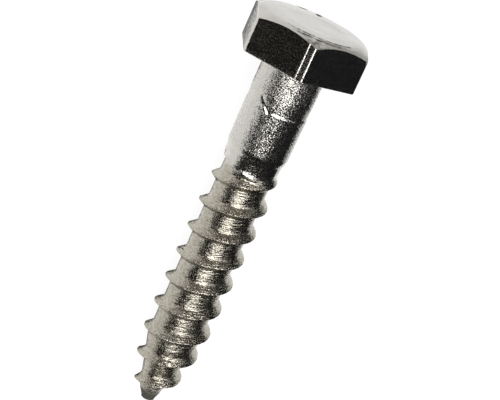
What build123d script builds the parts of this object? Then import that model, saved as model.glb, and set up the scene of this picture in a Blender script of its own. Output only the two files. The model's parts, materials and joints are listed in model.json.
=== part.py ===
from build123d import *
import os
from math import atan2, cos, pi, radians, sin, tan

# A 10 x 60 hexagon-head coach screw (wood screw), cold headed and thread
# rolled from one piece of stainless wire.  Millimetres.
#
# The screw is first drawn standing on its own axis: the underside of the head
# is at z = 0, the shank runs along +Z to the tip, and +X is square to one of
# the six flats of the head.  It is then laid down as it would come to rest.

# ---- Head -------------------------------------------------------------------
ACROSS_FLATS = 17.0
HEAD_HEIGHT = 6.6
HEAD_CORNER_RADIUS = 0.6
CHAMFER_ANGLE = 30.0
CHAMFER_CROWN = 0.03
TOP_CIRCLE_RADIUS = 7.6
UNDERHEAD_BEVEL = 0.3
DISH_RADIUS = 4.9
DISH_FLOOR_RADIUS = 4.6
DISH_DEPTH = 0.25
DISH_CENTRE = (0.55, -0.65)

# ---- Shank, drawn down to the blank that the thread is rolled on --------------
SHANK_RADIUS = 4.8
NECK_START = 13.9
NECK_END = 15.5
BLANK_RADIUS = 4.42
GROOVE_START = 16.9
GROOVE_FULL = 18.1
LENGTH = 59.0

# ---- Thread -----------------------------------------------------------------
PITCH = 4.5
ROOT_RADIUS = 4.0
CREST_RADIUS = 5.16
# The crest is rolled up to an edge, which crosses the +X side this share of a
# pitch past z = 0.
THREAD_PHASE = 0.305
# Lengths along z: the flank on the head's side eases into the root by a shallow
# foot, and the flank on the tip's side meets it in one steep run.
HEAD_FLANK = 0.72
HEAD_FOOT = 0.70
FOOT_HEIGHT = 0.26
TIP_FLANK = 1.02
# The ridge goes this far under the root, where it joins the core.
RIDGE_BURIED = 0.35
RIDGE_START = 12.8
RIDGE_FULL = 24.2
RIDGE_END = 57.9
RUNOUT_START = 55.6
RUNOUT_WIDTH = 0.3
SECTIONS_PER_TURN = 16

# ---- Tip: (z, radius) stations of the core and of the crest --------------------
CORE_TAPER = [(48.4, ROOT_RADIUS), (54.4, 2.42), (56.0, 2.14), (57.5, 1.66), (58.6, 1.12)]
CREST_TAPER = [(45.5, CREST_RADIUS), (49.1, 4.92), (54.4, 3.92), (56.3, 2.95), (RIDGE_END, 1.2)]
END_RADIUS = 0.85
# The blank was sheared off here, and a chip is missing beside the axis.
NICK_WIDTH = 0.30
NICK_DEPTH = 0.40
NICK_OFFSET = 0.55
NICK_BEARING = -110.0


def along(stations, z):
    """Radius at z on the straight runs between (z, radius) stations."""
    if z <= stations[0][0]:
        return stations[0][1]
    for (z0, r0), (z1, r1) in zip(stations, stations[1:]):
        if z <= z1:
            return r0 + (r1 - r0) * (z - z0) / (z1 - z0)
    return stations[-1][1]


def ease(t):
    """Smooth step from 0 to 1."""
    t = min(max(t, 0.0), 1.0)
    return t * t * (3.0 - 2.0 * t)


def core_radius(z):
    """Root of the thread: straight, then tapered to the tip."""
    return along(CORE_TAPER, z)


def crest_radius(z):
    """The crest rises out of the blank over about two turns and closes in on the tip."""
    rise = ease((z - RIDGE_START) / (RIDGE_FULL - RIDGE_START))
    return BLANK_RADIUS + (along(CREST_TAPER, z) - BLANK_RADIUS) * rise


def head():
    """Hexagon with rounded corners, a barely crowned 30 degree chamfer and a dished top."""
    outline = RegularPolygon(ACROSS_FLATS / 2, 6, major_radius=False, rotation=30)
    outline = fillet(outline.vertices(), HEAD_CORNER_RADIUS)
    prism = Pos(0, 0, -HEAD_HEIGHT) * extrude(outline, HEAD_HEIGHT)
    corners = ACROSS_FLATS / 2 / cos(radians(30))
    drop = (corners - TOP_CIRCLE_RADIUS) * tan(radians(CHAMFER_ANGLE))
    inner = (TOP_CIRCLE_RADIUS, -HEAD_HEIGHT)
    outer = (corners, drop - HEAD_HEIGHT)
    middle = ((inner[0] + outer[0]) / 2, (inner[1] + outer[1]) / 2 - CHAMFER_CROWN)
    side = [
        *Polyline((corners, 0), (0, 0), (0, -HEAD_HEIGHT), inner).edges(),
        *ThreePointArc(inner, middle, outer).edges(),
        *Line(outer, (corners, 0)).edges(),
    ]
    turned = revolve(Plane.XZ * make_face(Wire(side)), Axis.Z)
    dish = Cone(DISH_RADIUS, DISH_FLOOR_RADIUS, DISH_DEPTH)
    return (prism & turned) - Pos(*DISH_CENTRE, DISH_DEPTH / 2 - HEAD_HEIGHT) * dish


def core():
    """Shank, neck, blank, thread root and blunt tip, turned about the axis."""
    inside_head = -HEAD_HEIGHT / 2
    bevel = SHANK_RADIUS + UNDERHEAD_BEVEL
    outline = Polyline(
        (0, inside_head),
        (bevel, inside_head),
        (bevel, 0),
        (SHANK_RADIUS, UNDERHEAD_BEVEL),
        (SHANK_RADIUS, NECK_START),
        (BLANK_RADIUS, NECK_END),
        (BLANK_RADIUS, GROOVE_START),
        (ROOT_RADIUS, GROOVE_FULL),
        *[(r, z) for z, r in CORE_TAPER],
        (END_RADIUS, LENGTH),
        (0, LENGTH),
        close=True,
    )
    turned = revolve(Plane.XZ * make_face(outline), Axis.Z)
    chip = Box(NICK_WIDTH, 4 * END_RADIUS, 2 * NICK_DEPTH)
    return turned - Rot(0, 0, NICK_BEARING) * Pos(NICK_OFFSET, 0, LENGTH) * chip


def ridge_section(z):
    """Closed outline of the ridge in the plane that holds the axis and the crest at z."""
    crest = crest_radius(z)
    height = max(crest - core_radius(z), 0.0) / (CREST_RADIUS - ROOT_RADIUS)
    width = along([(RUNOUT_START, 1.0), (RIDGE_END, RUNOUT_WIDTH)], z)
    knee = HEAD_FLANK * width
    head_foot = knee + HEAD_FOOT * width * (1 + RIDGE_BURIED / FOOT_HEIGHT)
    tip_foot = TIP_FLANK * width * (1 + RIDGE_BURIED / (CREST_RADIUS - ROOT_RADIUS))

    def buried(z_foot):
        return min(core_radius(z_foot), crest) - RIDGE_BURIED

    outline = [
        (buried(z - head_foot), z - head_foot),
        (min(core_radius(z - knee) + FOOT_HEIGHT * height, crest - RIDGE_BURIED / 8), z - knee),
        (crest, z),
        (buried(z + tip_foot), z + tip_foot),
    ]
    bearing = 2 * pi * (z / PITCH - THREAD_PHASE)
    points = [Vector(r * cos(bearing), r * sin(bearing), h) for r, h in outline]
    return Wire(Polyline(*points, close=True).edges())


def ridge_turns():
    """The right-handed ridge, lofted through sections round the axis, one turn at a time."""
    count = round((RIDGE_END - RIDGE_START) / PITCH)
    length = (RIDGE_END - RIDGE_START) / count
    step = length / SECTIONS_PER_TURN
    for i in range(count):
        start = RIDGE_START + i * length
        yield Solid.make_loft([ridge_section(start + j * step) for j in range(SECTIONS_PER_TURN + 1)])


def resting_tilt():
    """Angle by which the axis dips once a head flat and a crest both touch the floor."""
    half_flats = ACROSS_FLATS / 2
    below = PITCH * (THREAD_PHASE + 0.5)
    crests = [below + turn * PITCH for turn in range(int((RUNOUT_START - below) / PITCH) + 1)]
    return min(atan2(half_flats - crest_radius(z), z) for z in crests if z > GROOVE_FULL)


def lay_down(screw):
    """Lie the screw on a flat of its head, tip towards +X, on the plane z = 0."""
    tilt = resting_tilt()
    lying = Plane(origin=(0, 0, 0), x_dir=(sin(tilt), 0, cos(tilt)), z_dir=(cos(tilt), 0, -sin(tilt)))
    laid = lying.location * screw
    box = laid.bounding_box()
    return Pos(-box.center().X, -box.center().Y, -box.min.Z) * laid


screw = head() + core()
for turn in ridge_turns():
    screw = screw + turn

coach_screw = lay_down(screw)
coach_screw.label = "coach_screw"
os.makedirs("parts", exist_ok=True)
export_step(coach_screw, "parts/coach_screw.step")
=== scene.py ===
# %% [markdown]
# # A satin stainless coach screw, lying on a pale floor
#
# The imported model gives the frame: where the screw lies, which way its axis
# points and how big it is.  Everything here is built round that.
#
# 1. read the frame and name the real sizes
# 2. write the screw's surface as a few formulas in (angle, distance along the axis)
# 3. sample them on one grid that winds with the thread, and close it with the head and the tip
# 4. give it pickled stainless steel
# 5. floor, light, the surroundings that the steel mirrors, and camera

import json
from math import cos, degrees, pi, radians, sin, tan

import bpy
import numpy as np
from mathutils import Matrix, Vector


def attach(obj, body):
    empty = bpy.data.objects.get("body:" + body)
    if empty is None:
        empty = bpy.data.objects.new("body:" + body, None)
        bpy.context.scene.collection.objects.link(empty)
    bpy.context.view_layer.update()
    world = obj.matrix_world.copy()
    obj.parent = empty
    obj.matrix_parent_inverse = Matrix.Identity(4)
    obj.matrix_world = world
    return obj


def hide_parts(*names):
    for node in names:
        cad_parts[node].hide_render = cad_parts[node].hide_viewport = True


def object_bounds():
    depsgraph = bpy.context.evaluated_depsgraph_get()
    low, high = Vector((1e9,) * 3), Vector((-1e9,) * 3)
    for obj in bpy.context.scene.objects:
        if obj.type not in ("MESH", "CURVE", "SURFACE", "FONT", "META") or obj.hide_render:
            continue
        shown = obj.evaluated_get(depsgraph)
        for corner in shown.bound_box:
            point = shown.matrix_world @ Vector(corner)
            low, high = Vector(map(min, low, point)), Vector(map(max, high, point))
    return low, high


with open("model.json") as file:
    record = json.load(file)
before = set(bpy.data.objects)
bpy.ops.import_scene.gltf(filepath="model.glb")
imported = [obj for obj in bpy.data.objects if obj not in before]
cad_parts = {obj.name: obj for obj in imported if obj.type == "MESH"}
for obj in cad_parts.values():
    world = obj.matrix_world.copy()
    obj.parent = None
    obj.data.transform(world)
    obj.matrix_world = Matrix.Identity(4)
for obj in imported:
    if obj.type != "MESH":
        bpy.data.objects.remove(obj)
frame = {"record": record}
cad_low, cad_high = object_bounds()
print("CAD box, metres:", tuple(cad_low), tuple(cad_high))

# %% [markdown]
# ## Where the screw lies
#
# Two mounts in the record fix the screw's own axes.  The shank's mount sits at
# the middle of the plain shank and points at the tip; the spanner flat points
# out of the head's upper flat.  The underside of the head is half a shank back.

# %% The screw's own axes
MM = 0.001

mounts = {mount["name"]: mount for mount in frame["record"]["mounts"]}
shank = mounts["shank"]
AXIS = np.array(shank["axis"])
UP = np.array(mounts["spanner_flat"]["axis"])
SIDE = np.cross(AXIS, UP)
UNDER_HEAD = np.array(shank["pos_m"]) - AXIS * shank["dims"]["length_mm"] / 2 * MM


def lay(x, y, z):
    """Screw coordinates in mm (x out of the upper flat, z to the tip) to metres in the frame."""
    points = np.stack([np.ravel(x), np.ravel(y), np.ravel(z)], axis=1) * MM
    return UNDER_HEAD + points @ np.stack([UP, SIDE, AXIS])


print("axis", AXIS.round(4), "up", UP.round(4), "under the head", UNDER_HEAD.round(5))

# %% [markdown]
# ## Real sizes, in mm
#
# Built as a 10 x 60 screw, 17 mm across flats with 4.5 mm pitch.  That size is a
# guess; only the proportions are known.  The shank is drawn down to a blank, and
# rolling pushes the metal of the blank out into the ridge and in at the root.
# Bearings are degrees round the axis from the upper flat.

# %% Head and shank
ACROSS_FLATS = 17.0
HEAD_HEIGHT = 6.6
CORNER_ROUND = 0.6
CHAMFER = tan(radians(30.0))
TOP_RADIUS = 7.82
TOP_CROWN = 0.28
DISH_RADIUS = 4.9
DISH_DEPTH = 0.06
DISH_CENTRE = (0.55, -0.65)

SHANK_RADIUS = shank["dims"]["r_mm"]
NECK = (shank["dims"]["length_mm"], 15.4)
BLANK_RADIUS = 4.50
BLANK_TAPER = 0.09
BLANK_TAPER_FROM = 14.8
BLANK_TAPER_LENGTH = 3.0
LENGTH = 59.0

# %% Thread and tip
PITCH = 4.5
ROOT_RADIUS = 4.0
CREST_RADIUS = mounts["thread"]["dims"]["r_mm"]
THREAD_PHASE = 0.305
HEAD_FLANK = 1.25
TIP_FLANK = 0.85
CREST_LAND = 0.12
FOOT_SHARE = 0.35
GROOVE_START = 17.2
GROOVE_LENGTH = 0.55
GROOVE_SLANT = 0.75
LIP_HEIGHT = 0.12
LIP_REACH = 0.45
CREST_RISE = (12.8, 24.2)
RUNOUT = (55.6, 57.9)

CORE_TAPER = np.array([(48.4, ROOT_RADIUS), (54.4, 2.42), (56.0, 2.14), (57.5, 1.66), (58.6, 1.12)])
CREST_TAPER = np.array([
    (45.5, CREST_RADIUS), (49.1, 4.92), (54.4, 3.92), (56.3, 2.95), (RUNOUT[1], 1.2),
])
TIP_SHIFT = 0.22
TIP_SHIFT_FROM = 48.4
TIP_SHIFT_BEARING = radians(70.0)
STUB_SKEW = 0.28

# %% [markdown]
# ## Small tools
#
# `ease` is the smooth step 3t^2 - 2t^3.  `lumps` is smooth random unevenness: a
# seeded lattice of values, blended between its eight nearest corners.

# %% Easing and noise
rng = np.random.default_rng(11)
LATTICE = rng.uniform(-1.0, 1.0, (32, 32, 32))


def ease(t):
    """Smooth step from 0 to 1: 3t^2 - 2t^3."""
    t = np.clip(t, 0.0, 1.0)
    return t * t * (3.0 - 2.0 * t)


def between(z, span):
    """0 before the span, 1 after it, eased across it."""
    return ease((z - span[0]) / (span[1] - span[0]))


def bell(distance, width):
    """1 at distance 0, fading to 0 at `width` on either side."""
    return 1.0 - ease(np.abs(distance) / width)


def lumps(x, y, z, size):
    """Smooth noise from -1 to 1 with bumps about `size` mm apart."""
    spots = np.stack([x, y, z]) / size + 16.0
    cell = np.floor(spots).astype(int)
    blend = ease(spots - cell)
    total = 0.0
    for corner in np.ndindex(2, 2, 2):
        share = np.prod([b if c else 1.0 - b for c, b in zip(corner, blend)], axis=0)
        i, j, k = [(n + c) % 32 for c, n in zip(corner, cell)]
        total = total + share * LATTICE[i, j, k]
    return total


# %% [markdown]
# ## The surface of the shank and the thread
#
# Everything below the head is one radius for each angle and height.  Round the
# axis, the crests lie on z = PITCH (n + angle / 2 pi + phase).  The distance to
# the nearest crest picks the place on the ridge's profile: a long flank on the
# head's side, a narrow crest and a shorter flank behind it, each hollow at its
# foot.  The first groove starts on a slant, where the rolls first bit, behind a
# small raised lip.

# %% Radius from the axis
def core(angle, z):
    """Blank or root under the ridge: shank, smooth neck, blank, lip, rolled root, pinched tip."""
    neck = SHANK_RADIUS + (BLANK_RADIUS - SHANK_RADIUS) * between(z, NECK)
    neck = neck - BLANK_TAPER * np.clip(z - BLANK_TAPER_FROM, 0.0, BLANK_TAPER_LENGTH)
    into_groove = z - GROOVE_START - GROOVE_SLANT * np.sin(-angle)
    lip = neck + LIP_HEIGHT * bell(into_groove, LIP_REACH)
    rolled = lip + (ROOT_RADIUS - lip) * ease(into_groove / GROOVE_LENGTH)
    taper = np.interp(z, CORE_TAPER[:, 0], CORE_TAPER[:, 1])
    return np.where(z < CORE_TAPER[0, 0], rolled, taper)


def crest(z):
    """Height of the crest: it grows out of the blank and closes in on the tip."""
    full = np.interp(z, CREST_TAPER[:, 0], CREST_TAPER[:, 1])
    return BLANK_RADIUS + (full - BLANK_RADIUS) * between(z, CREST_RISE)


def past_crest(angle, z):
    """Distance in mm along z from the nearest crest, tip side positive."""
    turns = z / PITCH - angle / (2 * pi) - THREAD_PHASE
    return (turns - np.round(turns)) * PITCH


def profile(gap):
    """Share of the ridge's height `gap` mm past the crest: a hollow foot, then straight."""
    flank = np.where(gap > 0, TIP_FLANK, HEAD_FLANK)
    t = np.clip(1.0 - (np.abs(gap) - CREST_LAND / 2) / flank, 0.0, 1.0)
    foot = t**2 / (2 * FOOT_SHARE)
    return np.where(t < FOOT_SHARE, foot, t - FOOT_SHARE / 2) / (1 - FOOT_SHARE / 2)


def radius(angle, z):
    """Distance from the axis to the steel."""
    gap = past_crest(angle, z)
    low = core(angle, z)
    high = np.maximum(crest(z - gap), low)
    return low + (high - low) * profile(gap)


# %% [markdown]
# ## The winding grid
#
# Columns are angles, closer together at the six corners of the head.  A few more
# stand where one flat has a step, and midway ones are added round the gouge in
# the shank.  Rows in the threaded part climb one pitch in one turn, so a row
# always stays on the same place of the ridge and the crest is a clean edge.
# After a full turn a row meets the row one pitch further on.  Rows past either
# end are clamped to a flat ring, and what collapses there is dropped.

# %% Columns and rows
SECTOR = 31
CORNER_CROWDING = 0.82
STEP_COLUMNS = radians(1.0) * np.array([334.9, 335.2, 335.45, 335.75, 336.05])
GOUGE_SPAN = (radians(345.0), radians(375.0))
t = np.arange(SECTOR) / SECTOR
sector = radians(60.0) * (t - CORNER_CROWDING * np.sin(2 * pi * t) / (2 * pi))
even = np.concatenate([radians(30.0 + 60.0 * k) + sector for k in range(6)])
middles = (even[:-1] + even[1:]) / 2
middles = middles[(middles > GOUGE_SPAN[0]) & (middles < GOUGE_SPAN[1])]
ANGLES = np.sort(np.concatenate([even, middles, STEP_COLUMNS]))
COLUMNS = len(ANGLES)
WOUND = np.append(ANGLES, ANGLES[0] + 2 * pi)

ROWS_PER_PITCH = 32
u = np.arange(ROWS_PER_PITCH) / ROWS_PER_PITCH
ACROSS = u - 0.5 * np.sin(2 * pi * u) / (2 * pi)
THREAD_SPAN = (12.6, 58.0)


def winding_heights():
    """Height of every row at every wound angle, clamped to the threaded span."""
    first = int(np.floor(THREAD_SPAN[0] / PITCH)) - 3
    last = int(np.ceil(THREAD_SPAN[1] / PITCH)) + 1
    turns = (np.arange(first, last)[:, None] + ACROSS[None, :]).ravel()
    heights = PITCH * (turns[:, None] + WOUND[None, :] / (2 * pi) + THREAD_PHASE)
    return np.clip(heights, *THREAD_SPAN)


heights = winding_heights()
print("winding grid:", heights.shape)

# %% [markdown]
# ## The hexagon head
#
# The head is drawn as rings round the same columns.  A ring is a distance from
# the axis and a height at each column: across the slightly crowned top with its
# very shallow dish, down the 30 degree chamfer, down the six flats and back in
# under the head to the shank.  Five corners are turned off round.  Beside the
# sixth a strip of the upper flat is a step lower, perhaps where the trimming die
# bit a little deep.

# %% Outline of the hexagon
STEPPED_CORNER = radians(-30.0)
STEP_SPAN = (0.93, 1.08)
STEP_DEPTH = 0.08
STEP_SOFTNESS = 0.12


def hexagon(angle):
    """Distance to the side of the head: flats at s / 2, corners turned off round."""
    half = ACROSS_FLATS / 2
    off_flat = np.mod(angle + radians(30.0), radians(60.0)) - radians(30.0)
    off_corner = radians(30.0) - np.abs(off_flat)
    centre = (half - CORNER_ROUND) / cos(radians(30.0))
    ends = np.arctan2(CORNER_ROUND * sin(radians(30.0)), centre + CORNER_ROUND * cos(radians(30.0)))
    reach = np.maximum(CORNER_ROUND**2 - (centre * np.sin(off_corner)) ** 2, 0.0)
    rounded = centre * np.cos(off_corner) + np.sqrt(reach)
    return np.where(off_corner < ends, rounded, half / np.cos(off_flat))


def trimmed(angle):
    """The same outline with the step beside one corner.

    Between the middles of the two flats that meet there, the outline is the
    soft minimum of their two lines, the upper one lowered next to the corner.
    """
    half = ACROSS_FLATS / 2
    turn = np.mod(angle + pi, 2 * pi) - pi
    inside = np.clip(turn, 2 * STEPPED_CORNER, 0.0)
    from_corner = half * (np.tan(inside) - tan(STEPPED_CORNER))
    upper = (half - STEP_DEPTH * (1 - between(from_corner, STEP_SPAN))) / np.cos(inside)
    lower = half / np.cos(inside - 2 * STEPPED_CORNER)
    soft = -STEP_SOFTNESS * np.logaddexp(-upper / STEP_SOFTNESS, -lower / STEP_SOFTNESS)
    return np.where(inside == turn, soft, hexagon(angle))


# %% Rings of the head
TOP_EDGE = 0.20
CHAMFER_EDGE = 0.08
UNDER_EDGE = 0.16
FILLET = 0.35
DISH_WALL = 1.6


def top_height(rho):
    """Slightly crowned top, then a soft edge, then the 30 degree chamfer."""
    past = rho - TOP_RADIUS
    crowned = TOP_CROWN * np.minimum(rho / TOP_RADIUS, 1.0) ** 3
    return crowned + CHAMFER * (past + np.sqrt(past**2 + TOP_EDGE**2)) / 2 - HEAD_HEIGHT


def bend(start, corner, end, steps):
    """Points on the quadratic curve that turns at `corner`, without its start."""
    t = np.arange(1, steps + 1)[:, None] / steps
    return (1 - t) ** 2 * start + 2 * t * (1 - t) * corner + t**2 * end


side_wall = trimmed(ANGLES)
circle = np.ones(COLUMNS)


def dished_rings():
    """Rings round the dish's own centre: a flat floor and a soft wall."""
    shares = np.linspace(0.0, 1.0, 10)[:, None]
    wall_share = np.linspace(0.15, 1.0, 6)[:, None]
    floor_rho = shares * (DISH_RADIUS - DISH_WALL) * circle
    wall_rho = DISH_RADIUS - DISH_WALL + DISH_WALL * wall_share * circle
    rho = np.concatenate([floor_rho, wall_rho])
    depth = DISH_DEPTH * np.concatenate([circle + 0 * floor_rho, 1 - ease(wall_share) + 0 * wall_rho])
    x = DISH_CENTRE[0] + rho * np.cos(ANGLES)
    y = DISH_CENTRE[1] + rho * np.sin(ANGLES)
    return x, y, top_height(np.hypot(x, y)) + depth


def head_rings():
    """x, y, z of each ring of the head, from the middle of its top to the shank."""
    dished_x, dished_y, dished_z = dished_rings()
    rim = np.hypot(dished_x[-1], dished_y[-1])
    rim_angle = np.arctan2(dished_y[-1], dished_x[-1])
    steps = np.linspace(0.0, 1.0, 38)[1:, None]
    top_rho = rim + steps * (side_wall - CHAMFER_EDGE - rim)
    turn = np.mod(rim_angle - ANGLES + pi, 2 * pi) - pi
    top_angle = ANGLES + (1 - ease(steps * 2.0)) * turn
    corner_z = top_height(side_wall)

    edge_rho = bend(side_wall - CHAMFER_EDGE, side_wall, side_wall, 4)
    edge_z = bend(top_height(side_wall - CHAMFER_EDGE), corner_z, corner_z + CHAMFER_EDGE, 4)
    down = np.linspace(0.0, 1.0, 9)[1:, None]
    flat_z = corner_z + CHAMFER_EDGE + down * (-UNDER_EDGE - corner_z - CHAMFER_EDGE)
    under_rho = bend(side_wall, side_wall, side_wall - UNDER_EDGE, 5)
    under_z = bend(-UNDER_EDGE * circle, 0.0 * circle, 0.0 * circle, 5)
    inward = np.linspace(0.0, 1.0, 9)[1:, None]
    collar = SHANK_RADIUS + FILLET
    bearing_rho = side_wall - UNDER_EDGE + inward * (collar - side_wall + UNDER_EDGE)
    fillet_rho = bend(collar * circle, SHANK_RADIUS * circle, SHANK_RADIUS * circle, 5)
    fillet_z = bend(0.0 * circle, 0.0 * circle, FILLET * circle, 5)

    plain_rho = np.concatenate([edge_rho, side_wall + 0.0 * flat_z, under_rho, bearing_rho, fillet_rho])
    plain_z = np.concatenate([edge_z, flat_z, under_z, 0.0 * bearing_rho, fillet_z])
    x = np.concatenate([dished_x, top_rho * np.cos(top_angle), plain_rho * np.cos(ANGLES)])
    y = np.concatenate([dished_y, top_rho * np.sin(top_angle), plain_rho * np.sin(ANGLES)])
    z = np.concatenate([dished_z, top_height(top_rho), plain_z])
    return np.stack([x, y, z], axis=2)


# %% [markdown]
# ## Shank rings and the blunt tip
#
# Between the head and the first groove the rows are plain rings.  Past the end
# of the thread they close over the stub, which was sheared off and never
# ground, so its end is uneven.

# %% Rings of the shank and the stub
STUB_EDGE = 0.35
STUB_SHOULDER = 0.86
STUB_FACE = 0.55


def round_rings(heights):
    """Rings of the threaded body at fixed heights."""
    z = np.asarray(heights)[:, None] + 0.0 * circle
    rho = radius(ANGLES + 0.0 * z, z)
    return np.stack([rho * np.cos(ANGLES), rho * np.sin(ANGLES), z], axis=2)


def tip_rings():
    """The stub, rounded over to the middle of its end face."""
    start = LENGTH - STUB_EDGE
    stub = round_rings(np.linspace(THREAD_SPAN[1], start, 5))
    edge = np.hypot(stub[-1, :, 0], stub[-1, :, 1])
    rho = bend(edge, edge * STUB_SHOULDER, edge * STUB_FACE, 6)
    z = bend(start * circle, LENGTH * circle, LENGTH * circle, 6)
    inner = np.linspace(1.0, 0.0, 5)[1:, None] * rho[-1]
    rho = np.concatenate([rho, inner])
    z = np.concatenate([z, LENGTH + 0.0 * inner])
    cap = np.stack([rho * np.cos(ANGLES), rho * np.sin(ANGLES), z], axis=2)
    return np.concatenate([stub, cap])


def wound_rows():
    """The winding rows, without the last column, which repeats the first one a pitch on."""
    z = heights[:, :-1]
    rho = radius(WOUND[:-1] + 0.0 * z, z)
    return np.stack([rho * np.cos(WOUND[:-1]), rho * np.sin(WOUND[:-1]), z], axis=2)


# %% [markdown]
# ## Marks of making and handling
#
# Halfway down the shank a small step makes a faint ring, perhaps where the
# heading die ended.  A gouge runs into it, with a burr raised beside its second
# half.  The crest is torn in places and the sheared stub is uneven.  Each of
# these is a push towards the axis, added to the finished points.  The tip also
# bends a little to one side, and the stub leans back the other way.

# %% Wear
WAIST_FROM = 4.8
RING = (7.05, 7.27)
WAIST = 0.09
LOWER_TAPER = 0.06
GOUGE_FROM = (radians(10.0), 5.6)
GOUGE_TO = (radians(-11.0), 7.2)
GOUGE_DEPTH = 0.09
GOUGE_REACH = 0.42
BURR_HEIGHT = 0.11
BURR_ASIDE = 0.40
BURR_REACH = 0.36
BURR_BEGINS = (0.30, 0.55)
DENT = 0.006
TORN_DEPTH = 0.07
STUB_UNEVENNESS = 0.10


def gouge(angle, z):
    """A narrow hollow between the gouge's ends, and the burr beside its second half."""
    start = np.array([GOUGE_FROM[0] * SHANK_RADIUS, GOUGE_FROM[1]])
    run = np.array([GOUGE_TO[0] * SHANK_RADIUS, GOUGE_TO[1]]) - start
    length = np.hypot(*run)
    ahead, beside = run / length, np.array([-run[1], run[0]]) / length
    spot = np.stack([angle * SHANK_RADIUS, z]) - start[:, None]
    on = np.clip(ahead @ spot, 0.0, length)
    past_end = ahead @ spot - on
    hollow = bell(np.hypot(beside @ spot, past_end), GOUGE_REACH)
    burr = bell(np.hypot(beside @ spot + BURR_ASIDE, past_end), BURR_REACH)
    burr = burr * between(on / length, BURR_BEGINS)
    return hollow, burr


def wear(points):
    """Pushes the points in for every mark, then moves the tip and the stub sideways."""
    x, y, z = points.T
    rho = np.maximum(np.hypot(x, y), 1e-6)
    angle = np.arctan2(y, x)
    on_crest = profile(past_crest(angle, z)) ** 6 * between(z, (17.0, 20.0))
    push = DENT * lumps(x, y, z, 0.8)
    push += WAIST * between(z, (WAIST_FROM, RING[0])) * (1 - between(z, RING))
    push += LOWER_TAPER * np.clip((z - RING[1]) / (NECK[0] - RING[1]), 0.0, 1.0)
    hollow, burr = gouge(angle, z)
    push += GOUGE_DEPTH * hollow - BURR_HEIGHT * burr
    push += TORN_DEPTH * on_crest * np.clip(lumps(x, y, z, 0.70), 0.0, 1.0)
    push += STUB_UNEVENNESS * between(z, (57.6, 58.8)) * lumps(x, y, z, 0.6)
    push *= between(z, (0.5, 1.5))
    shift = TIP_SHIFT * between(z, (TIP_SHIFT_FROM, LENGTH + 4.0))
    shift -= STUB_SKEW * between(z, (RUNOUT[0], LENGTH))
    x = x * (1 - push / rho) + shift * cos(TIP_SHIFT_BEARING)
    y = y * (1 - push / rho) + shift * sin(TIP_SHIFT_BEARING)
    return np.stack([x, y, z], axis=1)


# %% [markdown]
# ## One closed mesh
#
# The pieces of the grid share their end rings.  Every cell gives two triangles,
# and a cell that collapsed at a clamped end or at a pole gives fewer.

# %% Stitch the grids
def ring_numbers(rings, first):
    """Vertex numbers of closed rings, with the first column again at the end."""
    rows, columns = rings.shape[:2]
    numbers = first + np.arange(rows * columns).reshape(rows, columns)
    return np.concatenate([numbers, numbers[:, :1]], axis=1)


def triangles(numbers):
    """Two triangles for each cell of a grid of vertex numbers, empty ones dropped."""
    a, b = numbers[:-1, :-1], numbers[:-1, 1:]
    c, d = numbers[1:, 1:], numbers[1:, :-1]
    both = np.stack([np.stack([a, b, c], axis=-1), np.stack([a, c, d], axis=-1)]).reshape(-1, 3)
    p, q, r = both.T
    return both[(p != q) & (q != r) & (r != p)]


head = head_rings()
shank_rings = round_rings(np.linspace(0.6, THREAD_SPAN[0], 73))
body_rings = np.concatenate([head, shank_rings])
thread_rows = wound_rows()
tip = tip_rings()

body_numbers = ring_numbers(body_rings, 0)
body_numbers[0] = body_numbers[0, 0]
first_thread = body_rings.shape[0] * COLUMNS
first_tip = first_thread + thread_rows.shape[0] * COLUMNS
tip_numbers = ring_numbers(tip, first_tip)
tip_numbers[-1] = tip_numbers[-1, 0]

rows = np.arange(thread_rows.shape[0])[:, None]
wound = first_thread + rows * COLUMNS + np.arange(COLUMNS)[None, :]
seam = np.minimum(rows + ROWS_PER_PITCH, rows[-1]) * COLUMNS + first_thread
wound = np.concatenate([wound, seam], axis=1)
wound = np.where(heights <= THREAD_SPAN[0], body_numbers[-1][None, :], wound)
wound = np.where(heights >= THREAD_SPAN[1], tip_numbers[0][None, :], wound)

corners = np.concatenate([triangles(body_numbers), triangles(wound), triangles(tip_numbers)])
everything = np.concatenate([piece.reshape(-1, 3) for piece in (body_rings, thread_rows, tip)])
used, corners = np.unique(corners, return_inverse=True)
clean = everything[used]
points = wear(clean)
corners = corners.reshape(-1, 3)
print("screw:", len(points), "vertices,", len(corners), "triangles")


# %% The screw's object
def mesh_object(name, places, faces):
    """A smooth-shaded mesh at the origin, its place held in its vertices."""
    mesh = bpy.data.meshes.new(name)
    mesh.from_pydata(places.tolist(), [], faces.tolist())
    mesh.shade_smooth()
    thing = bpy.data.objects.new(name, mesh)
    bpy.context.scene.collection.objects.link(thing)
    return thing


screw = mesh_object("coach_screw_steel", lay(*points.T), corners)
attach(screw, "root")
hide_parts("coach_screw")

# %% [markdown]
# ## How each part of the surface was worked
#
# The steel is one material, but its face changes along the screw.  The flats
# were pressed against polished dies, the shank was etched to an even grain, the
# neck was drawn smooth and the thread was rolled and is duller and warmer.
# Values at each vertex carry that: `finish` is how far the grain leans along
# and round the screw and how rough it is, `dragged` how far the whole face leans
# towards the tip, `streaked` how deep the rolling streaks are, `rolled` how far
# the warm rolled finish has taken over, and `unwound` a place that climbs with
# the thread.
#
# Three finishes take over from the table where they lie: scraped bright in the
# gouge, bitten beside the stepped corner, and torn along the crests.

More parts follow.
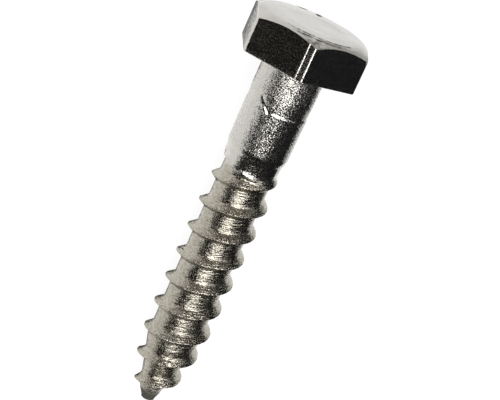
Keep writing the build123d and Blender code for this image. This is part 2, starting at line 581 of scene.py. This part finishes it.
# %% Finish along the screw
# height in mm, lean along, lean round, roughness, lean to the tip, depth of the streaks
FINISH_BY_HEIGHT = np.array([
    (-6.0, 0.15, 0.10, 0.12, 0.00, 0.0), (-5.0, 0.45, 0.22, 0.13, 0.00, 0.0),
    (-0.3, 0.50, 0.25, 0.13, 0.00, 0.0), (0.3, 1.7, 0.85, 0.25, 0.08, 0.0),
    (4.4, 1.7, 0.85, 0.25, 0.08, 0.0), (5.8, 1.5, 0.8, 0.24, 0.14, 0.0),
    (6.9, 1.2, 0.8, 0.22, 0.20, 0.0), (7.1, 1.0, 0.7, 0.22, 0.05, 0.0),
    (7.25, 1.0, 0.7, 0.22, 0.05, 0.0), (7.4, 1.5, 0.7, 0.21, 0.25, 0.0),
    (13.7, 1.5, 0.7, 0.21, 0.25, 0.0), (14.1, 0.3, 0.3, 0.18, 0.09, 0.0),
    (16.6, 0.4, 0.3, 0.18, 0.08, 0.1), (17.4, 0.45, 0.50, 0.25, 0.0, 0.5),
    (30.0, 0.70, 0.50, 0.25, 0.0, 1.0), (57.2, 0.9, 0.6, 0.26, 0.0, 1.0),
    (58.0, 1.5, 1.5, 0.42, 0.0, 0.4),
])
SCRAPED = (0.15, 0.15, 0.14, 0.0, 0.0)
BITTEN = (0.7, 0.4, 0.20, 0.0, 0.0)
TORN = (2.2, 1.5, 0.18, 0.0, 0.3)
STRIP_MIDDLE = 0.5
STRIP_EDGE = (0.5, 0.8)
known = FINISH_BY_HEIGHT[:, 0]
levels = FINISH_BY_HEIGHT[:, 1:].T
finish = np.stack([np.interp(clean[:, 2], known, level) for level in levels], axis=1)
angle = np.arctan2(clean[:, 1], clean[:, 0])
scraped = np.maximum(*gouge(angle, clean[:, 2]))[:, None]
finish = finish + scraped * (np.array(SCRAPED) - finish)
from_corner = np.abs(np.hypot(clean[:, 0], clean[:, 1]) * (angle - STEPPED_CORNER) - STRIP_MIDDLE)
on_sides = between(clean[:, 2], (-5.4, -5.1)) * (1 - between(clean[:, 2], (-0.3, 0.0)))
bitten = (1 - between(from_corner, STRIP_EDGE)) * on_sides
finish = finish + bitten[:, None] * (np.array(BITTEN) - finish)
on_thread = between(clean[:, 2], (17.0, 19.0)) * (1 - between(clean[:, 2], (57.0, 58.0)))
torn = profile(past_crest(angle, clean[:, 2])) ** 4 * on_thread
finish = finish + torn[:, None] * (np.array(TORN) - finish)
rolled = between(clean[:, 2], (16.9, 18.0))
unwound = clean - np.outer(PITCH / (2 * pi) * angle, (0.0, 0.0, 1.0))


# %% [markdown]
# ## Residue and painted shade
#
# Dark residue, perhaps lubricant and scale, stays where nothing wipes it off: as
# a thin film on the top and on the sheared stub.  The same dark colour paints
# shade: turned arcs and a darker stretch on the near rim of the top, two nicks,
# corners, and the foot behind the crest.  It isn't metal.  Where it is thick it
# hides the steel's mirror face, which matters at the outline, because bare metal
# seen at a flat angle stays bright whatever its colour.

# %% Grime and painted shade
# Painted shade: two dark arcs round the near rim of the top, where turned grooves mirror dark.
# distance from the axis in mm, first and last bearing in degrees, strength
ARCS = ((7.55, -90.0, 12.0, 1.0), (8.08, -72.0, 0.0, 1.0))
ARC_WIDTH = 0.28
# distance from the axis in mm, bearing in degrees, reach round and across in mm
NICKS = ((7.25, 138.0, 1.2, 1.1), (6.4, 160.0, 0.7, 1.5))
FILM = 0.23
UNEVEN_FILM = 0.12
CORNER_RESIDUE = 0.60
NICK_RESIDUE = 1.8
FAR_RIM_RESIDUE = 0.35
SIDE_RESIDUE = 0.9
BEHIND_CREST = 0.45
CREST_REACH = 0.34
CREST_RESIDUE = 1.2
STUB_RESIDUE = 0.90


def grime(points):
    """Dark residue and painted shade.

    Residue is a thin film on the head's top, a patch on its far rim, and all of the
    sheared stub.  Painted shade is the darker near rim of the top with two turned
    arcs, a corner of the top, two nicks, the top's edge and one corner of the sides
    where they meet the outline, and on the thread the foot behind the crest.
    """
    x, y, z = points.T
    rho = np.hypot(x, y)
    bearing = np.degrees(np.arctan2(y, x))
    patchy = 0.65 + 0.9 * lumps(x, y, z, 0.35)
    top = FILM + UNEVEN_FILM * lumps(x, y, z, 2.5)
    # Painted shade: the near rim of the top is darker, as it would mirror the shaded floor by the head.
    top += UNEVEN_FILM * bell(bearing + 65.0, 60.0) * between(rho, (6.8, 7.8))
    for place, start, end, strength in ARCS:
        window = between(bearing, (start, start + 30.0)) * (1 - between(bearing, (end - 20.0, end)))
        top += strength * patchy * window * bell(rho - place, ARC_WIDTH)
    # Painted shade: darker next to the stepped corner of the top.
    near_corner = bell(bearing + 30.0, 20.0) * between(rho, (8.1, 8.8))
    top += CORNER_RESIDUE * patchy * near_corner
    # Painted shade: two dark nicks on the far rim, where stamped marks look dark at a flat angle.
    for place, at, wide, high in NICKS:
        beside = (bearing - at) * pi / 180 * place
        top += NICK_RESIDUE * bell(rho - place, high) * bell(beside, wide)
    top += FAR_RIM_RESIDUE * bell(rho - 7.6, 0.35) * bell(bearing - 165.0, 40.0)
    from_edge = trimmed(np.radians(bearing)) - rho
    # Painted shade: the top's edge next to the side corner at the outline is darker.
    top += bell(from_edge, 0.5) * bell(bearing - 98.0, 20.0)
    on_top = between(from_edge, (0.0, CHAMFER_EDGE)) * (1 - between(z, (-5.2, -4.9)))
    # Painted shade: the side corner at the outline is dark, as it would mirror the screw's shadow on
    # the floor.
    side = SIDE_RESIDUE * bell(bearing - 90.0, 9.0) * (1 - between(z, (-0.3, 0.0)))
    # Painted shade: a dark line on the foot behind each crest, in the ridge's undercut.
    behind_crest = bell(past_crest(np.radians(bearing), z) - BEHIND_CREST, CREST_REACH)
    behind_crest = behind_crest * between(z, (20.0, 24.0))
    thread = CREST_RESIDUE * behind_crest * np.clip(0.7 + lumps(x, y, z, 1.1), 0.0, 1.0)
    thread = thread * (1 - between(z, (56.0, 57.0)))
    stub = STUB_RESIDUE * between(z, (56.4, 57.6))
    total = top * on_top + side * (1 - on_top) + thread + stub
    return np.clip(total, 0.0, 1.0)


def vertex_values(thing, name, values):
    """Stores a number or a vector at each vertex for the material to read."""
    kind, field = ("FLOAT", "value") if values.ndim == 1 else ("FLOAT_VECTOR", "vector")
    layer = thing.data.attributes.new(name, kind, "POINT")
    layer.data.foreach_set(field, values.ravel().astype(np.float32))


vertex_values(screw, "finish", finish[:, :3])
vertex_values(screw, "dragged", finish[:, 3])
vertex_values(screw, "streaked", finish[:, 4])
vertex_values(screw, "rolled", rolled)
vertex_values(screw, "grime", grime(clean))
vertex_values(screw, "unwound", unwound)

# %% [markdown]
# ## Pickled stainless steel
#
# After heading and rolling the screw is pickled, which leaves a satin face with
# a fine etched grain.  Noise 0.14 mm across leans the surface this way and that,
# so it sparkles where light meets dark and vanishes where the surroundings are
# even.  Other noises vary the gloss, tint the steel in small spots and give
# shallow ripples about a millimetre across.  The rolls leave streaks that climb
# with the thread.  The size of the grain was chosen. The size of the grain was chosen by eye.

# %% Colour and node helpers
def from_hex(code):
    """An sRGB hex colour as the linear numbers that Blender keeps."""
    values = np.array([int(code[i : i + 2], 16) for i in (1, 3, 5)]) / 255
    linear = np.where(values <= 0.04045, values / 12.92, ((values + 0.055) / 1.055) ** 2.4)
    return (*linear.tolist(), 1.0)


def node(tree, kind, inputs=None, **settings):
    """Adds a node, sets its properties and the default values of its sockets."""
    new = tree.nodes.new(kind)
    for name, value in settings.items():
        setattr(new, name, value)
    for name, value in (inputs or {}).items():
        new.inputs[name].default_value = value
    return new


# %% The steel
GRAIN_SIZE = 0.14
GLOSS_SIZE = 0.17
RIPPLE_SIZE = 1.1
RIPPLE_DEPTH = 0.03
STAIN_SIZE = 0.5
STREAK_SIZE = 0.22
STREAK_DEPTH = 0.14
STREAK_STRETCH = (0.15, 0.15, 1.0)
CRUST_FROM = 0.35
CRUST_ROUGHNESS = 0.6


def pickled_stainless():
    """Metal whose grain, gloss and warmth follow the values at each vertex."""
    material = bpy.data.materials.new("pickled_stainless_steel")
    material.use_nodes = True
    tree = material.node_tree
    link = tree.links.new
    steel = tree.nodes["Principled BSDF"]
    place = node(tree, "ShaderNodeTexCoord")
    askew = node(tree, "ShaderNodeMapping", {"Rotation": (0.6, 0.9, 0.4)})
    link(place.outputs["Object"], askew.inputs["Vector"])
    values = {}
    for name in ("finish", "dragged", "streaked", "rolled", "grime", "unwound"):
        values[name] = node(tree, "ShaderNodeAttribute", attribute_name=name)
    along, around, rough = node(tree, "ShaderNodeSeparateXYZ").outputs
    link(values["finish"].outputs["Vector"], along.node.inputs[0])

    def noise(size, detail, spot=askew):
        """Noise with spots `size` across, in the units of the place it is read at."""
        settings = {"Scale": 1 / size, "Detail": detail, "Roughness": 0.6}
        texture = node(tree, "ShaderNodeTexNoise", settings)
        link(spot.outputs["Vector"], texture.inputs["Vector"])
        return texture

    def times(first, second):
        """Product of two sockets."""
        product = node(tree, "ShaderNodeMath", operation="MULTIPLY")
        link(first, product.inputs[0])
        link(second, product.inputs[1])
        return product.outputs["Value"]

    def mixed(share, first, second):
        """A colour between two, each a hex code or a socket."""
        blend = node(tree, "ShaderNodeMix", data_type="RGBA")
        link(share, blend.inputs["Factor"])
        for socket, colour in ((blend.inputs[6], first), (blend.inputs[7], second)):
            if isinstance(colour, str):
                socket.default_value = from_hex(colour)
            else:
                link(colour, socket)
        return blend.outputs[2]

    stain = node(tree, "ShaderNodeMapRange", {"From Min": 0.35, "From Max": 0.6})
    link(noise(STAIN_SIZE * MM, 3.0).outputs["Fac"], stain.inputs["Value"])
    plain = mixed(stain.outputs["Result"], "#C5C2BC", "#CDCAC4")
    dull = mixed(stain.outputs["Result"], "#A19B8D", "#B9B4A8")
    steel_colour = mixed(values["rolled"].outputs["Fac"], plain, dull)
    # Dark brown for residue, and for the painted shade that the grime values also carry.
    link(mixed(values["grime"].outputs["Fac"], steel_colour, "#2C2822"), steel.inputs["Base Color"])

    spread_of_gloss = {"From Min": 0.35, "From Max": 0.65, "To Min": 0.4, "To Max": 1.7}
    worn = node(tree, "ShaderNodeMapRange", spread_of_gloss)
    link(noise(GLOSS_SIZE * MM, 0.0).outputs["Fac"], worn.inputs["Value"])
    # Thick residue and painted shade become matt non-metal, so the painted shade also darkens the
    # outline.
    crust = node(tree, "ShaderNodeMapRange", {"From Min": CRUST_FROM})
    link(values["grime"].outputs["Fac"], crust.inputs["Value"])
    bare = node(tree, "ShaderNodeMath", {0: 1.0}, operation="SUBTRACT")
    link(crust.outputs["Result"], bare.inputs[1])
    link(bare.outputs["Value"], steel.inputs["Metallic"])
    matt = node(tree, "ShaderNodeMath", {1: CRUST_ROUGHNESS}, operation="MULTIPLY_ADD")
    link(crust.outputs["Result"], matt.inputs[0])
    link(times(worn.outputs["Result"], rough), matt.inputs[2])
    link(matt.outputs["Value"], steel.inputs["Roughness"])

    shape = node(tree, "ShaderNodeNewGeometry")
    centred = node(tree, "ShaderNodeVectorMath", {1: (0.5, 0.5, 0.5)}, operation="SUBTRACT")
    link(noise(GRAIN_SIZE * MM, 0.0).outputs["Color"], centred.inputs[0])
    spread = node(tree, "ShaderNodeCombineXYZ")
    for socket, lean in zip(spread.inputs, (along, around, around)):
        link(lean, socket)
    tilt = node(tree, "ShaderNodeVectorMath", operation="MULTIPLY")
    link(centred.outputs["Vector"], tilt.inputs[0])
    link(spread.outputs["Vector"], tilt.inputs[1])
    leaning = node(tree, "ShaderNodeVectorMath", operation="ADD")
    link(shape.outputs["Normal"], leaning.inputs[0])
    link(tilt.outputs["Vector"], leaning.inputs[1])
    drag = node(tree, "ShaderNodeVectorMath", {0: AXIS}, operation="SCALE")
    link(values["dragged"].outputs["Fac"], drag.inputs["Scale"])
    dragged = node(tree, "ShaderNodeVectorMath", operation="ADD")
    link(leaning.outputs["Vector"], dragged.inputs[0])
    link(drag.outputs["Vector"], dragged.inputs[1])
    unit = node(tree, "ShaderNodeVectorMath", operation="NORMALIZE")
    link(dragged.outputs["Vector"], unit.inputs[0])

    def bumped(height, depth_mm, before):
        """The surface before it, raised by a height from 0 to 1."""
        bump = node(tree, "ShaderNodeBump", {"Distance": depth_mm * MM})
        link(height, bump.inputs["Height"])
        link(before, bump.inputs["Normal"])
        return bump.outputs["Normal"]

    ripples = times(noise(RIPPLE_SIZE * MM, 1.0).outputs["Fac"], around)
    rippled = bumped(ripples, RIPPLE_DEPTH, unit.outputs["Vector"])
    drawn_out = node(tree, "ShaderNodeMapping", {"Scale": STREAK_STRETCH})
    link(values["unwound"].outputs["Vector"], drawn_out.inputs["Vector"])
    rolling = noise(STREAK_SIZE, 1.0, drawn_out).outputs["Fac"]
    streaks = times(rolling, values["streaked"].outputs["Fac"])
    link(bumped(streaks, STREAK_DEPTH, rippled), steel.inputs["Normal"])
    return material


screw.data.materials.append(pickled_stainless())

# %% [markdown]
# ## The floor
#
# A pale floor that reads as white to the eye and in the steel, and still takes
# the soft shadow of the screw.

# %% Floor
FLOOR_GLOW = 0.785


def seen_directly(tree):
    """A socket that is 1 for camera, glossy and transmission rays."""
    path = node(tree, "ShaderNodeLightPath")
    total = path.outputs["Is Camera Ray"]
    for name in ("Is Glossy Ray", "Is Transmission Ray"):
        both = node(tree, "ShaderNodeMath", operation="MAXIMUM")
        tree.links.new(total, both.inputs[0])
        tree.links.new(path.outputs[name], both.inputs[1])
        total = both.outputs["Value"]
    return total


def pale_floor():
    """Matt paper whose own glow, for rays that see it directly, lifts it to white."""
    material = bpy.data.materials.new("pale_floor")
    material.use_nodes = True
    tree = material.node_tree
    paper = tree.nodes["Principled BSDF"]
    paper.inputs["Base Color"].default_value = from_hex("#8C8C8C")
    paper.inputs["Roughness"].default_value = 0.9
    paper.inputs["Specular IOR Level"].default_value = 0.0
    paper.inputs["Emission Color"].default_value = from_hex("#FFFFFF")
    glow = node(tree, "ShaderNodeMath", {1: FLOOR_GLOW}, operation="MULTIPLY")
    tree.links.new(seen_directly(tree), glow.inputs[0])
    tree.links.new(glow.outputs["Value"], paper.inputs["Emission Strength"])
    return material


FLOOR_REACH = 1.2
ONE_FACE = np.array([(0, 1, 2, 3)])
square = np.array([(-1, -1, 0), (1, -1, 0), (1, 1, 0), (-1, 1, 0)]) * FLOOR_REACH
floor = mesh_object("floor", square, ONE_FACE)
floor.data.materials.append(pale_floor())

# %% [markdown]
# ## Light
#
# The overhead panel does nearly all the work: it is the highlight along the
# middle of the shank and the thread, and it lights the cards.  A shorter and
# weaker strip low on the near side adds a faint light to the crests there.  A big
# soft panel on the far side is kept out of reflections and only fills, by very
# little.  Bearings here are degrees round the screw from straight up towards +Y.

# %% Three panels
MIDDLE = np.array([(cad_low[0] + cad_high[0]) / 2, (cad_low[1] + cad_high[1]) / 2, 0.006])


def across(bearing, distance, forward=0.0):
    """A place round the screw: bearing in degrees from straight up towards +Y, seen along +X."""
    turn = radians(bearing)
    return MIDDLE + distance * np.array([0.0, sin(turn), cos(turn)]) + np.array([forward, 0.0, 0.0])


def panel(name, start, end, distance, length, radiance, forward):
    """A soft panel from bearing start to end whose face shows as `radiance`, 1 being white."""
    half = radians(end - start) / 2
    light = bpy.data.lights.new(name, "AREA")
    light.shape = "RECTANGLE"
    light.size = length
    light.size_y = 2 * distance * tan(half)
    light.energy = radiance * pi * light.size * light.size_y
    bearing = radians((start + end) / 2)
    out = Vector((0.0, sin(bearing), cos(bearing)))
    along = Vector((1.0, 0.0, 0.0))
    turn = Matrix((along, out.cross(along), out)).transposed().to_4x4()
    lamp = bpy.data.objects.new(name, light)
    lamp.matrix_world = Matrix.Translation(across(degrees(bearing), distance, forward)) @ turn
    lamp.visible_camera = False
    bpy.context.scene.collection.objects.link(lamp)
    return lamp


far_side = panel("far_side_panel", -92.0, -29.0, 0.50, 1.5, 0.4, 0.2)
far_side.visible_glossy = False
panel("overhead_panel", 12.5, 55.0, 0.45, 0.60, 3.6, -0.10)
panel("near_side_strip", 62.0, 88.0, 0.50, 0.16, 2.0, -0.17)

# %% [markdown]
# ## What the steel mirrors
#
# Satin metal shows mostly what stands round it, so it needs something dark to
# reflect.  Three bent sheets reach from a little way down the far side over the
# top to the floor on the near side, and past their far edge the white world
# gives the broad pale band along the screw.
#
# - dark_vault, over the screw: the dark upper flat of the head, and the tone of
#   the middle of the shank and the thread
# - front_vault, beyond the tip: the dark neck and part of the shank
# - grey_vault, beyond the head: the flanks that face it
# - near_side_card: the dark near flat, and the near edge all along the screw
# - back_card and pale_floor_card: the near rim of the head's top, the pale one
#   only slightly
# - under_shadow_card: painted shadow where the screw's shadow lies on the floor
#   under the thread; it darkens the far edge of the lower turns
# - far_side_shadow_card: painted shadow where the head's shadow lies on the floor
#   on its far side; it gives the far flat of the head, which shows only as a
#   narrow strip
#
# All are seen in reflections only.  The two shadow cards are painted shadow,
# standing for the screw's own shadow on the floor, which the floor's glow hides in
# reflections; the others stand for no real thing.

# %% Cards
def paper_card(name, colour):
    """Dull paper."""
    material = bpy.data.materials.new(name)
    material.use_nodes = True
    card = material.node_tree.nodes["Principled BSDF"]
    card.inputs["Base Color"].default_value = from_hex(colour)
    card.inputs["Roughness"].default_value = 1.0
    card.inputs["Specular IOR Level"].default_value = 0.0
    return material


def only_reflected(thing, paper):
    """Keeps a card out of everything but mirror reflections."""
    thing.data.materials.append(paper)
    thing.visible_camera = False
    thing.visible_diffuse = False
    thing.visible_transmission = False
    thing.visible_shadow = False


def vault(name, start, end, distance, low_x, high_x):
    """A sheet bent round the screw from bearing start to end."""
    turns = np.linspace(start, end, 25)
    ends = [[across(turn, distance, x) for turn in turns] for x in (low_x, high_x)]
    n = np.arange(24)
    cells = np.stack([n, n + 1, n + 26, n + 25], axis=1)
    return mesh_object(name, np.array(ends).reshape(-1, 3), cells)


def floor_card(name, low, high):
    """A sheet on the floor between two corners."""
    corners = [(low[0], low[1]), (high[0], low[1]), (high[0], high[1]), (low[0], high[1])]
    return mesh_object(name, np.array([(x, y, 0.0002) for x, y in corners]), ONE_FACE)


CHARCOAL = paper_card("charcoal_card", "#302D2A")
GREY = paper_card("grey_card", "#8A857E")
PALE = paper_card("pale_card", "#BDBDBB")
BLACK = paper_card("black_card", "#17181A")
only_reflected(vault("dark_vault", -38.0, 92.0, 0.56, -0.40, 0.40), CHARCOAL)
only_reflected(vault("front_vault", -43.0, 92.0, 0.56, 0.40, 2.5), CHARCOAL)
only_reflected(vault("grey_vault", -37.0, 92.0, 0.56, -2.5, -0.40), GREY)
only_reflected(floor_card("near_side_card", (-0.030, 0.0070), (0.57, 0.56)), BLACK)
only_reflected(floor_card("back_card", (-2.5, 0.030), (-0.030, 0.56)), BLACK)
only_reflected(floor_card("pale_floor_card", (-0.075, 0.009), (-0.034, 0.030)), PALE)
# Painted shadow: a black sheet where the screw's shadow lies on the floor under the thread, seen only
# in the steel.
only_reflected(floor_card("under_shadow_card", (-0.006, -0.012), (0.036, 0.0)), BLACK)
# Painted shadow: a black sheet where the head's shadow lies on the floor on its far side, seen only in
# the steel.
only_reflected(floor_card("far_side_shadow_card", (-0.0315, -0.0175), (-0.018, -0.0100)), BLACK)


WORLD_FILL = 0.55


def studio_world():
    """White to look at and in reflections, a plain grey fill otherwise."""
    world = bpy.data.worlds.new("studio")
    world.use_nodes = True
    tree = world.node_tree
    fill = tree.nodes["Background"]
    fill.inputs["Color"].default_value = from_hex("#FFFFFF")
    level = node(tree, "ShaderNodeMapRange", {"To Min": WORLD_FILL, "To Max": 1.0})
    tree.links.new(seen_directly(tree), level.inputs["Value"])
    tree.links.new(level.outputs["Result"], fill.inputs["Strength"])
    return world


bpy.context.scene.world = studio_world()

# %% [markdown]
# ## Camera
#
# The camera looks down on the lying screw from its near side, 20 degrees round
# from the upper flat and 19 degrees off square towards the head, and is rolled
# so that the tip points to the lower left.

# %% Camera
CAMERA_LENS = 104.8
VIEW_BEARING = radians(20.13)
VIEW_LEAN = radians(19.07)
VIEW_ROLL = radians(24.48)
AIMED_AT = 30.0
IMAGE_CENTRE = (-5.021, 6.102, 219.85)

near = cos(VIEW_BEARING) * UP - sin(VIEW_BEARING) * SIDE
across_view = -sin(VIEW_BEARING) * UP - cos(VIEW_BEARING) * SIDE
along_view = cos(VIEW_LEAN) * AXIS + sin(VIEW_LEAN) * near
away = sin(VIEW_LEAN) * AXIS - cos(VIEW_LEAN) * near
right = cos(VIEW_ROLL) * across_view - sin(VIEW_ROLL) * along_view
down = sin(VIEW_ROLL) * across_view + cos(VIEW_ROLL) * along_view
spot = UNDER_HEAD + AIMED_AT * MM * AXIS
position = spot - MM * np.array(IMAGE_CENTRE) @ np.stack([right, down, away])

camera = bpy.data.objects.new("camera", bpy.data.cameras.new("camera"))
camera.data.lens = CAMERA_LENS
camera.data.sensor_width = 36.0
camera.data.clip_start = 0.01
turn = Matrix(np.stack([right, -down, -away], axis=1).tolist()).to_4x4()
camera.matrix_world = Matrix.Translation(Vector(position)) @ turn
bpy.context.scene.collection.objects.link(camera)
bpy.context.scene.camera = camera
print("camera at", position.round(4), "looking", away.round(4))

bpy.context.scene.view_settings.view_transform = "Standard"
